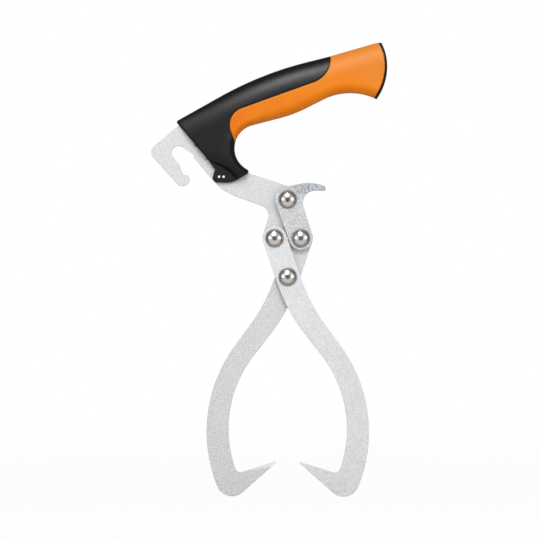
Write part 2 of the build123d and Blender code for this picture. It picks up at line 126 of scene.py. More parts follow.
class HandleSizes(bpy.types.PropertyGroup):
    """Side outline, widths and edge forms of the handle."""

    crown: lengths("Crown", "Bend of the back", -0.02194, 0.01496)
    crown_radius: length("Crown radius", "Radius of the bend of the back", 0.292)
    front_slope: slope("Front slope", "Slope of the back in front of the crown", 29.32)
    front_length: length("Front length", "Length of the back in front of the crown", 0.08178)
    saddle: lengths("Saddle", "Corner of the slight dip of the back behind the crown", 0.03405, 0.02889)
    saddle_radius: length("Saddle radius", "Radius of the dip of the back", 0.15)
    heel: lengths("Heel", "Corner of the back before the butt", 0.07364, 0.04034)
    heel_radius: length("Heel radius", "Radius of the back's corner before the butt", 0.015)
    butt_top: lengths("Butt top", "Upper end of the butt", 0.078085, 0.040588)
    butt_height: length("Butt height", "Height of the butt", 0.0471)
    butt_lean: length("Butt lean", "How far the foot of the butt lies in front of its top", 0.0040)
    butt_radius: length("Butt radius", "Radius of the round butt", 0.0456)
    waist: lengths("Waist", "Corner of the hollow before the butt", 0.05193, 0.00442)
    waist_radius: length("Waist radius", "Radius of the hollow before the butt", 0.05)
    belly: lengths("Belly", "Corner of the swelling under the palm", 0.00517, -0.01918)
    belly_radius: length("Belly radius", "Radius of the swelling under the palm", 0.1136)
    belly_slope: slope("Belly slope", "Slope of the belly towards the finger hollow", 14.65)
    choil_offset: length("Choil offset", "Distance from the belly's corner to the finger hollow", 0.03582)
    choil_radius: length("Choil radius", "Radius of the round finger hollow", 0.0198)
    lead_slope: slope("Lead slope", "Angle of the leading edge from straight down", 40.0)
    lead_length: length("Lead length", "Length of the leading edge", 0.05188)
    lead_bevel: length("Lead bevel", "How far the upper corner of the leading edge is cut off", 0.0009)
    guard_tip: lengths("Guard tip", "Tip of the finger guard", -0.0309, -0.0671)
    guard_round: length("Guard rounding", "Radius of the tip of the finger guard", 0.0023)
    ridge_centre: lengths("Ridge centre", "Middle of the round step above the lobe", -0.0731, -0.0982)
    ridge_radius: length("Ridge radius", "Radius of the round step above the lobe", 0.04)
    lobe_bottom: lengths("Lobe bottom", "Lowest corner of the flat lobe", -0.046, -0.0764)
    lobe_radius: length("Lobe radius", "Radius of the lowest corner of the lobe", 0.02)
    lobe_half: length("Lobe half thickness", "Half the thickness of the flat lobe", 0.005)
    lobe_round: length("Lobe rounding", "Radius of the lobe's rim", 0.0013)
    ear_reach: length("Ear reach", "How far the ear of the lobe stands in front of the leading edge", 0.0036)
    ear_rise: length("Ear rise", "Height of the ear's lower corner above the lobe's", 0.0006)
    ear_neck: length("Ear neck", "How far the ear's upper corner stands in front of the leading edge", 0.0016)
    ear_drop: length("Ear drop", "How far the ear's upper corner lies below the leading edge", 0.003)
    ear_radius: length("Ear radius", "Radius of the corners of the ear", 0.004)
    ear_join: length("Ear join", "Radius where the ear leaves the leading edge", 0.001)
    lobe_lap: length("Lobe lap", "How far the lobe runs in under the guard", 0.0025)
    lobe_middle: lengths("Lobe middle", "Middle of the lobe's rays, from the eyelets", 0.003, 0.0015)
    eyelet: lengths("Eyelets", "Middle between the two cord eyelets", -0.0553, -0.071)
    eyelet_spacing: length("Eyelet spacing", "Distance between the two eyelets", 0.0038)
    eyelet_radius: length("Eyelet radius", "Radius of an eyelet", 0.0011)
    oval_length: share("Oval length", "Half length of the oval round the eyelets over their spacing", 1.15)
    oval_height: share("Oval height", "Half height of the oval round the eyelets over their radius", 2.3)
    nib_place: length("Nib place", "Distance of the first nib from the top of the leading edge", 0.02588)
    nib_spacing: length("Nib spacing", "Distance between the two nibs on the leading edge", 0.0147)
    nib_radius: length("Nib radius", "Radius of a nib on the leading edge", 0.0009)
    nib_stretch: share("Nib stretch", "How far a nib stands across the plate over its radius", 1.6)
    axis_slope: slope("Axis slope", "Slope of the axis that the widths follow", 17.0)
    stations: lengths("Stations", "Places along the axis that have a width of their own",
                      -0.118, -0.049, 0.0, 0.0485, 0.102)
    widths: lengths("Widths", "Full widths at the stations", 0.0065, 0.0240, 0.0288, 0.0265, 0.0299)
    back_depth: length("Back depth", "How far in from the back the side has its full width", 0.0185)
    belly_depth: length("Belly depth", "How far in from the belly the side has its full width", 0.0078)
    choil_depth: length("Choil depth", "How far in from the finger hollow the side has its full width", 0.004)
    lip_height: length("Lip height", "How far the guard swells beside the finger hollow", 0.0007)
    lip_width: length("Lip width", "Half width of the guard's swelling", 0.0042)
    back_power: share("Back power", "Roundness of the rolled back: 2 is an ellipse", 2.25)
    under_power: share("Underside power", "Roundness of the rolled underside: 2 is an ellipse", 2.2)
    choil_power: share("Choil power", "Roundness of the rolled finger hollow: 2 is an ellipse", 1.6)
    rim_share: share("Rim share", "Share of the width that is left at the lower rim of the guard", 0.6)
    rim_depth: length("Rim depth", "How far above the lower rim the guard has its full width", 0.0095)
    rim_round: length("Rim rounding", "Radius of the lower rim of the guard", 0.0016)
    lead_round: length("Lead rounding", "Radius of the leading edge", 0.0022)
    seam_depth: length("Seam depth", "Depth of the groove where two mouldings meet", 0.0005)
    seam_width: length("Seam width", "Half width of the groove where two mouldings meet", 0.0005)
    grip_proud: length("Grip proud", "How far the soft grip stands proud of the core", 0.0004)
    grip_ease: length("Grip ease", "Width over which the soft grip rises from its seams", 0.0012)


class GripLine(bpy.types.PropertyGroup):
    """Parting line between the core and the soft grip, and the cap."""

    top_x: length("Top place", "Place where the parting line meets the back", 0.0355)
    top_radius: length("Top radius", "Radius of the corner under the back", 0.021)
    run_slope: slope("Slope", "Slope of the long run of the parting line", 19.7)
    height: length("Height", "Height of the long run straight above the linkage", -0.0009)
    front_x: length("Front place", "Place of the foremost stretch of the parting line", -0.0482)
    front_radius: length("Front radius", "Radius of the two corners in front", 0.017)
    guard_rise: length("Guard rise", "Height of the last corner above the middle of the finger hollow", 0.0162)
    guard_reach: length("Guard reach", "Where the parting line would meet the finger hollow's level", 0.0175)
    cap_thickness: length("Cap thickness", "Width of the butt cap", 0.0024)
    cap_inset: length("Cap inset", "How far the sides of the cap stand in from the handle's", 0.0002)
    cap_power: share("Cap power", "Power of the cap's section: 1 is an ellipse, less is squarer", 0.4)
    cap_crown: share("Cap crown", "Share of its thickness that the cap loses towards its sides", 0.18)


class RivetSizes(bpy.types.PropertyGroup):
    """Profile of the shoulder rivets."""

    head_height: length("Head height", "Height of the domed front head with its land", 0.0042)
    land: length("Land", "Height of the straight rim of the head", 0.0006)
    rim_round: length("Rim rounding", "Radius that breaks the rim of the head", 0.0004)
    shoulder: length("Shoulder radius", "Radius of the shank under the head", 0.004)
    tail_height: length("Tail height", "Height of the closing head behind", 0.003)
    tail_radius: length("Tail radius", "Radius of the closing head behind", 0.0064)


class Finishes(bpy.types.PropertyGroup):
    """Colours of the finishes."""

    steel: colour("Blasted steel", "Zinc-grey of the plates", (0.71, 0.72, 0.732))
    rivet: colour("Rivet steel", "Polished steel of the rivets", (0.66, 0.63, 0.605))
    black: colour("Black plastic", "Moulded core", (0.0022, 0.0018, 0.0022))
    orange: colour("Orange grip", "Soft grip", (0.84, 0.202, 0.0005))
    cap: colour("Cap plastic", "Butt cap", (0.006, 0.005, 0.005))


class Studio(bpy.types.PropertyGroup):
    """Camera, lamps, floor and tent."""

    view_width: length("View width", "Width that the camera sees at the plates", 0.45)
    view_centre: lengths("View centre", "Place in the middle of the picture", -0.01475, -0.14875)
    lens: share("Lens", "Focal length of the camera in millimetres", 200.0)
    sight: length("Sight", "Farthest distance that the camera shows", 20.0)
    ambient: share("Ambient", "Strength of the even light all round", 0.79)
    left_power: watts("Left power", "Power of the soft box on the left", 4.3)
    left_size: lengths("Left size", "Width and height of the soft box on the left", 0.9, 1.4)
    left_spot: lengths("Left place", "Place of the soft box on the left", -1.15, -1.05, -0.22)
    right_power: watts("Right power", "Power of the soft box on the right", 4.9)
    right_size: lengths("Right size", "Width and height of the soft box on the right", 0.9, 1.4)
    right_spot: lengths("Right place", "Place of the soft box on the right", 1.15, -1.05, -0.22)
    strip_power: watts("Strip power", "Power of the upper strip, which only reflections see", 28.0)
    strip_size: lengths("Strip size", "Width and height of the upper strip", 0.56, 0.8)
    strip_spot: lengths("Strip place", "Place of the upper strip", -0.17, -1.08, 0.93)
    top_power: watts("Top power", "Power of the soft box above, which reflections don't see", 3.8)
    top_size: lengths("Top size", "Width and height of the soft box above", 0.5, 0.45)
    top_spot: lengths("Top place", "Place of the soft box above", 0.38, -1.05, 0.62)
    floor_half: length("Floor half width", "Half the side of the square floor", 4.0)
    floor_gap: length("Floor gap", "Distance of the floor below the jaws", 0.0005)
    floor_tone: colour("Floor tone", "Grey of the light that the floor returns", (0.62, 0.62, 0.62))
    shadow_fade: lengths("Shadow fade", "Distances between which the shadow of the tongs fades out", 0.15, 1.6)
    shadow_white: share("Shadow white", "Share of plain white in the floor at the tongs", 0.95)
    tent_reach: length("Tent reach", "Distance of the tent from the tongs", 2.4)
    opening_angle: slope("Opening angle", "Half angle of the tent's opening for the camera", 22.0)
    rear_angle: slope("Rear angle", "Angle off the view's axis where the dark rear of the tent starts", 62.0)
    tent_tone: colour("Tent tone", "White of the tent", (0.62, 0.61, 0.60))
    table_tone: colour("Table tone", "Pale table before the tongs", (0.84, 0.82, 0.80))
    rear_tone: colour("Rear tone", "Dark rear of the tent", (0.13, 0.12, 0.115))
    rear_table_tone: colour("Rear table tone", "Table behind the tongs", (0.36, 0.35, 0.34))
    opening_tone: colour("Opening tone", "Dark of the camera's opening", (0.10, 0.098, 0.096))


def unit(vectors):
    """Vectors scaled to length one."""
    return vectors / np.maximum(np.linalg.norm(vectors, axis=-1, keepdims=True), 1e-12)


def down(angle):
    """Side-view direction at an angle from straight down, positive to the right."""
    return np.array([math.sin(angle), -math.cos(angle)])


def across(angle):
    """Side-view direction square to down(angle), on its right-hand side."""
    return np.array([math.cos(angle), math.sin(angle)])


def bend_path(corners, steps=24):
    """Open side-view path through corners (place, radius): straight runs joined by tangent arcs.

    At a corner of half angle a, an arc of radius r starts r / tan(a) before the corner and turns about a
    centre that lies r / sin(a) along the bisector. Radii that need more than their runs are reduced to fit.
    """
    points = np.array([tuple(point) for point, radius in corners])
    radius = np.array([radius for point, radius in corners])[1:-1, None]
    back = unit(points[:-2] - points[1:-1])
    ahead = unit(points[2:] - points[1:-1])
    half = np.arccos(np.clip((back * ahead).sum(1, keepdims=True), -1, 1)) / 2
    wanted = np.concatenate([[0], (radius / np.tan(half))[:, 0], [0]])
    room = np.linalg.norm(np.diff(points, axis=0), axis=1) / np.maximum(wanted[:-1] + wanted[1:], 1e-9)
    radius = radius * np.minimum(np.minimum(room[:-1], room[1:]), 1)[:, None]
    centre = points[1:-1] + unit(back + ahead) * radius / np.sin(half)
    start = points[1:-1] + back * radius / np.tan(half) - centre
    end = points[1:-1] + ahead * radius / np.tan(half) - centre
    turn = np.arctan2(start[:, 0] * end[:, 1] - start[:, 1] * end[:, 0], (start * end).sum(1))
    angle = (turn[:, None] * np.linspace(0, 1, steps))[..., None]
    square = np.stack([-start[:, 1], start[:, 0]], 1)
    arcs = centre[:, None] + start[:, None] * np.cos(angle) + square[:, None] * np.sin(angle)
    return np.concatenate([points[:1], arcs.reshape(-1, 2), points[-1:]])


def arc(centre, radius, start, end, steps=48):
    """Side-view points on a circle, from one angle to another."""
    angle = np.linspace(start, end, steps)
    return np.asarray(centre) + radius * np.stack([np.cos(angle), np.sin(angle)], 1)


def bearing(point, centre):
    """Angle of a side-view point about a centre, from minus to plus half a turn."""
    return math.atan2(point[1] - centre[1], point[0] - centre[0])


def polar(point, centre):
    """Angle of a side-view point about a centre, from 0 to a full turn."""
    return bearing(point, centre) % math.tau


def path_length(path):
    """Length of a side-view path."""
    return np.linalg.norm(np.diff(path, axis=0), axis=1).sum()


def resample(path, shares):
    """Points at given shares of a path's length."""
    run = np.concatenate([[0], np.cumsum(np.linalg.norm(np.diff(path, axis=0), axis=1))])
    return np.stack([np.interp(shares * run[-1], run, path[:, k]) for k in (0, 1)], 1)


def clip_path(path, keep, steps=600):
    """Stretch of a path whose points pass a test, found on a fine even resampling."""
    fine = resample(path, np.linspace(0, 1, steps))
    return fine[keep(fine)]


def onto(point, centre, radius):
    """Point of a circle that lies on the ray from its centre through a side-view point."""
    return centre + radius * unit(point - centre)


def far_from(points, path):
    """Least distance from each side-view point to a path, taken over all its segments at once."""
    start, run = path[:-1], np.diff(path, axis=0)
    gap = points[..., None, :] - start
    along = (gap * run).sum(-1) / np.maximum((run * run).sum(-1), 1e-18)
    return np.linalg.norm(gap - np.clip(along, 0, 1)[..., None] * run, axis=-1).min(-1)


def depth_in(points, path):
    """Depth of side-view points in from an edge, none for points that lie on it but for rounding."""
    gap = far_from(points, path)
    return np.where(gap < WELD, 0, gap)


def eased(count, pull):
    """Shares from 0 to 1 that lie closer together at both ends: t - pull * sin(2 pi t) / (2 pi)."""
    t = np.linspace(0, 1, count)
    return t - pull * np.sin(math.tau * t) / math.tau


def near_start(count, power=1.7):
    """Shares from 0 to 1 that lie closer together towards 0: t^power."""
    return np.linspace(0, 1, count) ** power


def near_end(count):
    """Shares from 0 to 1 that lie closer together towards 1: 1 - (1 - t)^2."""
    return 1 - (1 - np.linspace(0, 1, count)) ** 2


def coons(bottom, top, left, right, u, v):
    """Side-view grid inside four edge curves: the two ruled sheets less the sheet of the corners."""
    u = u[:, None, None]
    v = v[None, :, None]
    upright = (1 - v) * bottom[:, None] + v * top[:, None]
    level = (1 - u) * left[None] + u * right[None]
    low = (1 - u) * bottom[0] + u * bottom[-1]
    high = (1 - u) * top[0] + u * top[-1]
    return upright + level - (1 - v) * low - v * high


def rolled(q, power):
    """Superellipse share of a rolled edge at a relative depth q: (1 - (1 - q)^p)^(1/p), up to 1."""
    return (1 - (1 - np.clip(q, 0, 1)) ** power) ** (1 / power)


def smooth_through(x, knots, values):
    """Cubic Hermite curve through knots, with the slope of each knot's two neighbours."""
    tangent = np.gradient(values, knots)
    i = np.clip(np.searchsorted(knots, x) - 1, 0, len(knots) - 2)
    span = knots[i + 1] - knots[i]
    t = (x - knots[i]) / span
    return ((1 + 2 * t) * (1 - t) ** 2 * values[i] + t * (1 - t) ** 2 * span * tangent[i]
            + t * t * (3 - 2 * t) * values[i + 1] + t * t * (t - 1) * span * tangent[i + 1])


class HandleShape:
    """Side-view curves of the handle and its half width at any side-view point."""

    def __init__(self, sizes, line):
        self.sizes = sizes
        self.line = line
        crown, belly = np.array(sizes.crown), np.array(sizes.belly)
        self.lead_top = crown - across(sizes.front_slope) * sizes.front_length
        self.lead_run = down(sizes.lead_slope)
        self.lead_bottom = self.lead_top + self.lead_run * sizes.lead_length
        self.butt_top = np.array(sizes.butt_top)
        self.butt_bottom = self.butt_top - np.array([sizes.butt_lean, sizes.butt_height])
        chord = self.butt_bottom - self.butt_top
        inward = unit(np.array([chord[1], -chord[0]]))
        depth = math.sqrt(sizes.butt_radius**2 - (chord @ chord) / 4)
        self.butt = (self.butt_top + self.butt_bottom) / 2 + inward * depth
        self.choil_start = belly - across(sizes.belly_slope) * sizes.choil_offset
        self.choil = self.choil_start + down(sizes.belly_slope) * sizes.choil_radius
        self.ridge = np.array(sizes.ridge_centre)
        self.back = bend_path([
            (self.lead_top, 0), (sizes.crown, sizes.crown_radius), (sizes.saddle, sizes.saddle_radius),
            (sizes.heel, sizes.heel_radius), (self.butt_top, 0)])
        self.under = bend_path([
            (self.choil_start, 0), (belly, sizes.belly_radius),
            (sizes.waist, sizes.waist_radius), (self.butt_bottom, 0)])
        self.split_back_and_grip()
        self.split_guard()
        self.rolled_under = np.concatenate([self.guard_choil, self.grip_choil[1:], self.under])

    def ahead_of_butt(self, radius):
        """Test for points that lie in front of an arc about the butt's centre."""
        return lambda p: (np.linalg.norm(p - self.butt, axis=1) <= radius) | (p[:, 0] < self.butt[0])

    def butt_arc(self, radius, low, high):
        """Arc about the butt's centre between the directions of two points."""
        return arc(self.butt, radius, bearing(low, self.butt), bearing(high, self.butt))

    def beyond_ridge(self, points):
        """Test for points that lie outside the circle of the step above the lobe."""
        return np.linalg.norm(points - self.ridge, axis=1) >= self.sizes.ridge_radius

    def split_back_and_grip(self):
        """Cut the back and the underside at the parting line and the cap's seam."""
        sizes, line = self.sizes, self.line
        seam = sizes.butt_radius - line.cap_thickness
        top = np.array([line.top_x, np.interp(line.top_x, self.back[:, 0], self.back[:, 1])])
        start = self.lead_top[0] + sizes.lead_bevel
        spine = clip_path(self.back, lambda p: (p[:, 0] >= start) & (p[:, 0] <= line.top_x))
        self.spine = np.concatenate([spine, [top]])
        behind = clip_path(self.back, lambda p: p[:, 0] > line.top_x)
        behind = behind[self.ahead_of_butt(seam)(behind)]
        self.grip_back = np.concatenate([[top], behind, [onto(behind[-1], self.butt, seam)]])
        under = clip_path(self.under, self.ahead_of_butt(seam))
        self.grip_under = np.concatenate([under, [onto(under[-1], self.butt, seam)]])
        self.seam = self.butt_arc(seam, self.grip_under[-1], self.grip_back[-1])
        rise = math.tan(line.run_slope)
        parting = bend_path([
            (top, 0), ((line.top_x, line.height + line.top_x * rise), line.top_radius),
            ((line.front_x, line.height + line.front_x * rise), line.front_radius),
            ((line.front_x, self.choil[1] + line.guard_rise), line.front_radius),
            ((self.choil[0] - line.guard_reach, self.choil[1]), 0)])
        outside = clip_path(parting, lambda p: np.linalg.norm(p - self.choil, axis=1) >= sizes.choil_radius)
        foot = onto(outside[-1], self.choil, sizes.choil_radius)
        self.parting = np.concatenate([[foot], outside[::-1]])

    def split_guard(self):
        """Outline of the guard: choil arcs, a rounded tip, the lower rim, the ridge and the leading edge.

        The tip's round has its centre one tip radius above the rim's line and one tip radius outside the
        choil's circle; it touches both, and the two edges of the guard meet at its middle.
        """
        sizes = self.sizes
        guard, low = np.array(sizes.guard_tip), np.array(sizes.lobe_bottom)
        run = unit(guard - low)
        square = np.array([-run[1], run[0]])
        offset = guard + square * sizes.guard_round - self.choil
        reach = sizes.choil_radius + sizes.guard_round
        middle = offset @ run
        centre = self.choil + offset - run * (middle + math.sqrt(middle**2 - offset @ offset + reach**2))
        on_rim = centre - square * sizes.guard_round
        on_choil = self.choil + unit(centre - self.choil) * sizes.choil_radius
        start, end = polar(on_rim, centre), polar(on_choil, centre)
        end = end + math.tau if end < start else end
        tip = arc(centre, sizes.guard_round, start, end, 2 * TIP_HALF + 1)
        split, upper = polar(self.parting[0], self.choil), polar(self.choil_start, self.choil)
        choil = arc(self.choil, sizes.choil_radius, polar(on_choil, self.choil), split)
        self.guard_choil = np.concatenate([tip[TIP_HALF:], choil[1:]])
        self.grip_choil = arc(self.choil, sizes.choil_radius, split, upper)
        ear_low = np.array([self.lead_bottom[0] - sizes.ear_reach, low[1] + sizes.ear_rise])
        ear_high = self.lead_bottom - np.array([sizes.ear_neck, sizes.ear_drop])
        bevel = sizes.lead_bevel / self.lead_run[0]
        lead = np.array([self.lead_top + self.lead_run * bevel, self.lead_bottom])
        lead = clip_path(lead, self.beyond_ridge)[::-1]
        self.lead = np.concatenate([[onto(lead[0], self.ridge, sizes.ridge_radius)], lead, self.spine[:1]])
        rim = bend_path([(ear_low, 0), (low, sizes.lobe_radius), (on_rim, 0)])
        rim = clip_path(rim, self.beyond_ridge)
        start, end = polar(self.lead[0], self.ridge), polar(rim[0], self.ridge)
        end = end - math.tau if end > start else end
        self.step = arc(self.ridge, sizes.ridge_radius, end, start)
        self.rim = np.concatenate([self.step[:1], rim[1:], tip[1:TIP_HALF + 1]])
        self.lobe_edge = bend_path([
            (self.lead_top, 0), (self.lead_bottom, sizes.ear_join), (ear_high, sizes.ear_radius),
            (ear_low, sizes.ear_radius), (low, sizes.lobe_radius), (on_rim, 0)])

    def half_width(self, points):
        """Half width at side-view points: the axis width times a rolled share for the back and the underside.

        With q the depth in from an edge over that edge's rolled depth, up to 1, the share is
        (1 - (1 - q)^p)^(1/p), a superellipse. The finger hollow's depth and power go over to the belly's within
        half the hollow's radius on both sides of its middle.
        """
        sizes = self.sizes
        beyond = np.clip((points[..., 0] - self.choil[0]) / sizes.choil_radius + 0.5, 0, 1)
        depth = sizes.choil_depth + (sizes.belly_depth - sizes.choil_depth) * beyond
        power = sizes.choil_power + (sizes.under_power - sizes.choil_power) * beyond
        back = rolled(depth_in(points, self.back) / sizes.back_depth, sizes.back_power)
        under = rolled(depth_in(points, self.rolled_under) / depth, power)
        station = points @ across(sizes.axis_slope)
        width = smooth_through(station, np.array(sizes.stations), np.array(sizes.widths))
        return back * under * width / 2

    def relief_share(self, half):
        """Share, up to 1, that fades relief out where the handle is thinner than the lobe."""
        return np.minimum(half / self.sizes.lobe_half, 1)

    def seam_drop(self, points, path):
        """Groove along a path: depth times a bell curve of the distance over the groove's half width."""
        return self.sizes.seam_depth * np.exp(-((far_from(points, path) / self.sizes.seam_width) ** 2))


def sheet(plan, half):
    """Grid of 3-D points from side-view points and Y positions."""
    return np.stack([plan[..., 0], half, plan[..., 1]], -1)


def sides(plan, half):
    """Front and rear grids or rows of 3-D points, one half width off the middle."""
    return [sheet(plan, -half), sheet(plan, half)]


def wall(front, rear):
    """Grid of one strip between two rows of 3-D points."""
    return np.stack([front, rear], 1)


def quad_faces(shape, first):
    """Corner numbers of all quads of a grid whose points are numbered from first, row by row."""
    index = first + np.arange(shape[0] * shape[1]).reshape(shape)
    return np.stack([index[:-1, :-1], index[1:, :-1], index[1:, 1:], index[:-1, 1:]], -1).reshape(-1, 4)


def add_object(name, data):
    """Object of a mesh, lamp or camera, linked to the scene."""
    made = bpy.data.objects.new(name, data)
    bpy.context.scene.collection.objects.link(made)
    return made


def hide_from(made, *rays):
    """Keep some kinds of rays from seeing an object."""
    for ray in rays:
        setattr(made, "visible_" + ray, False)


def add_piece(name, grids, material, body, node_names):
    """Object from grids of 3-D points: welded where they meet, facing outwards, riding on a body."""
    points, faces, first = [], [], 0
    for grid in grids:
        points.append(grid.reshape(-1, 3))
        faces.append(quad_faces(grid.shape[:2], first))
        first += grid.shape[0] * grid.shape[1]
    mesh = bpy.data.meshes.new(name)
    mesh.from_pydata(np.concatenate(points), [], np.concatenate(faces))
    work = bmesh.new()
    work.from_mesh(mesh)
    bmesh.ops.remove_doubles(work, verts=work.verts, dist=WELD)
    bmesh.ops.dissolve_degenerate(work, edges=work.edges, dist=WELD)
    bmesh.ops.recalc_face_normals(work, faces=work.faces)
    work.to_mesh(mesh)
    work.free()
    mesh.shade_smooth()
    mesh.set_sharp_from_angle(angle=SHARP_ANGLE)
    mesh.materials.append(material)
    piece = add_object(name, mesh)
    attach(piece, body)
    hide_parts(*node_names)


class Signal:
    """Shader socket that takes part in Python expressions; each operation adds one Math node."""

    def __init__(self, nodes, socket):
        self.nodes = nodes
        self.socket = socket

    def math(self, operation, first, second):
        return self.nodes.node("ShaderNodeMath", {"operation": operation}, {0: first, 1: second})

    def __add__(self, other):
        return self.math("ADD", self, other)

    def __sub__(self, other):
        return self.math("SUBTRACT", self, other)

    def __rsub__(self, other):
        return self.math("SUBTRACT", other, self)

    def __mul__(self, other):
        return self.math("MULTIPLY", self, other)

    __radd__ = __add__
    __rmul__ = __mul__


class Nodes:
    """Node tree under construction."""

    def __init__(self, tree):
        self.tree = tree

    def node(self, kind, settings, sockets, out=0):
        """Add a node: its settings first, then the values or links of its sockets; gives one output."""
        made = self.tree.nodes.new(kind)
        for name, value in settings.items():
            setattr(made, name, value)
        for name, value in sockets.items():
            self.put(made.inputs[name], value)
        return Signal(self, made.outputs[out])

    def put(self, socket, value):
        """Link a signal to a socket, or set the socket's own value."""
        if isinstance(value, Signal):
            self.tree.links.new(value.socket, socket)
        elif hasattr(value, "__len__") and len(value) == 3 and len(socket.default_value) == 4:
            socket.default_value = (*value, 1.0)
        else:
            socket.default_value = value

    def seen(self):
        """One for camera, glossy and transmission rays, none for others."""
        camera, glossy, through = (self.node("ShaderNodeLightPath", {}, {}, f"Is {ray} Ray")
                                   for ray in ("Camera", "Glossy", "Transmission"))
        return camera + glossy + through

    def show(self, output, shader):
        """Link a shader to the output node of the tree."""
        self.put(self.tree.nodes[output].inputs["Surface"], shader)


class Finish(Nodes):
    """Node material under construction, with one Principled surface."""

    def __init__(self, name):
        self.material = bpy.data.materials.new(name)
        self.material.use_nodes = True
        super().__init__(self.material.node_tree)
        self.surface = self.tree.nodes["Principled BSDF"]
        self.place = self.node("ShaderNodeTexCoord", {}, {}, "Object")

    def set(self, **values):
        """Set or link sockets of the surface; underscores stand for spaces."""
        for name, value in values.items():
            self.put(self.surface.inputs[name.replace("_", " ")], value)
        return self.material

    def noise(self, scale, detail=2.0, roughness=0.5):
        """Noise in object space, with grains of about one over the scale in metres."""
        sockets = {"Vector": self.place, "Scale": scale, "Detail": detail, "Roughness": roughness}
        return self.node("ShaderNodeTexNoise", {}, sockets)

    def swing(self, noise, amount):
        """Change of up to half an amount either way, by a noise whose mean is a half."""
        return (noise - 0.5) * amount

    def step(self, signal, low, high, first=0.0, last=1.0):
        """Smooth change from first to last as a signal goes from low to high."""
        settings = {"interpolation_type": "SMOOTHSTEP"}
        sockets = {0: signal, 1: low, 2: high, 3: first, 4: last}
        return self.node("ShaderNodeMapRange", settings, sockets)

    def blend(self, first, second, factor):
        """Colour between two colours by a factor."""
        sockets = {0: factor, 6: first, 7: second}
        return self.node("ShaderNodeMix", {"data_type": "RGBA"}, sockets, 2)

    def vector(self, operation, sockets, out=0):
        """Vector Math on vectors or colours."""
        return self.node("ShaderNodeVectorMath", {"operation": operation}, sockets, out)

    def shade(self, tone, factor):
        """Colour with its brightness scaled by a signal."""
        return self.vector("SCALE", {0: tone, "Scale": factor})

    def axis(self, source, name):
        """One axis of a vector signal."""
        return self.node("ShaderNodeSeparateXYZ", {}, {0: source}, name)

    def facing(self, axis, normal="Normal"):
        """One axis of the surface's normal."""
        return self.axis(self.node("ShaderNodeNewGeometry", {}, {}, normal), axis)

    def bump(self, height, strength, distance):
        """Surface relief for the normal."""
        return self.node("ShaderNodeBump", {}, {"Height": height, "Strength": strength, "Distance": distance})


def blasted_steel(name, tone, level, speckle, facet_tone_and_painted_light=0.0, tail=None):
    """Zinc-grey blasted plate: dark specks on the faces, ground facets of their own level, partly the ground
    steel's paleness and partly painted light and shade, dull sheared sides.

    The tail, given as the ranges of X and Z over which it sets in, is cooler, darker and more coarsely specked.
    """
    finish = Finish(name)
    grain = finish.noise(scale=1000.0, roughness=0.6)
    cloud = finish.noise(scale=38.0)
    facing = finish.node("ShaderNodeMath", {"operation": "ABSOLUTE"}, {0: finish.facing("Y", "True Normal")})
    face = finish.step(facing, 0.88, 0.94)
    facet = finish.step(facing, 0.76, 0.80) - face
    side = finish.step(facing, 0.05, 0.3, first=1.0, last=0.0)
    pits = finish.step(grain, 0.36, 0.60, first=-0.5, last=0.6)
    cells = {"Vector": finish.place, "Scale": 780.0}
    nearness = finish.step(finish.node("ShaderNodeTexVoronoi", {}, cells), 0.62, 0.2)
    darkness = finish.axis(finish.node("ShaderNodeTexVoronoi", {}, cells, "Color"), "X")
    specks = finish.step(darkness, 0.3, 1.0) * nearness
    coolness = 0.0
    if tail:
        along, up = (finish.step(finish.axis(finish.place, axis), *span) for axis, span in tail.items())
        coolness = along * up
    blasting = (pits - specks * 0.8) * face * (speckle + coolness * 0.2)
    # painted light: each plate's level and its facets' lift or drop paint it lighter or darker for how the
    # light falls on it
    level_here = level + blasting + finish.swing(cloud, 0.08) + facet * facet_tone_and_painted_light - side * 0.3
    shown = finish.shade(tone, level_here)
    if tail:
        cooled = finish.vector("MULTIPLY", {0: shown, 1: TAIL_TINT})
        shown = finish.blend(shown, cooled, coolness)
    return finish.set(
        Base_Color=shown,
        Metallic=face * 0.2 + 0.1,
        Roughness=0.7 + finish.swing(grain, 0.25) - face * 0.12,
        Normal=finish.bump(grain, strength=0.35, distance=0.00012),
    )


def polished_steel(name, tone):
    """Polished rivet: near-mirror dome with faint clouding, fine scratches and a dull rim whose colour is
    painted dark, a painted shade for the dark ring that the head's edge reflects; it also darkens the shank and
    the closing head behind.
    """
    finish = Finish(name)
    cloud = finish.noise(scale=420.0, detail=3.0, roughness=0.6)
    scratch = finish.noise(scale=260.0, detail=4.0, roughness=0.7)
    rim = finish.step(finish.facing("Y"), -0.80, -0.62)
    return finish.set(
        # painted shade: the rim's colour is darkened for the dark ring it shows
        Base_Color=finish.shade(tone, 1.0 + finish.swing(cloud, 0.12) - rim * 0.74),
        Metallic=1.0 - rim * 0.6,
        Roughness=0.15 + cloud * 0.08 + rim * 0.4,
        Normal=finish.bump(scratch, strength=0.16, distance=0.0001),
    )


def black_plastic(name, tone, gloss):
    """Moulded black plastic with a fine eroded grain and slight sheen changes."""
    finish = Finish(name)
    grain = finish.noise(scale=1150.0, roughness=0.6)
    cloud = finish.noise(scale=60.0, detail=3.0)
    return finish.set(
        Base_Color=finish.shade(tone, 0.8 + cloud * 0.4),
        Roughness=0.46 + finish.swing(cloud, 0.10) + finish.swing(grain, 0.16),
        Normal=finish.bump(grain, strength=0.45, distance=0.0001),
        Specular_IOR_Level=gloss,
    )


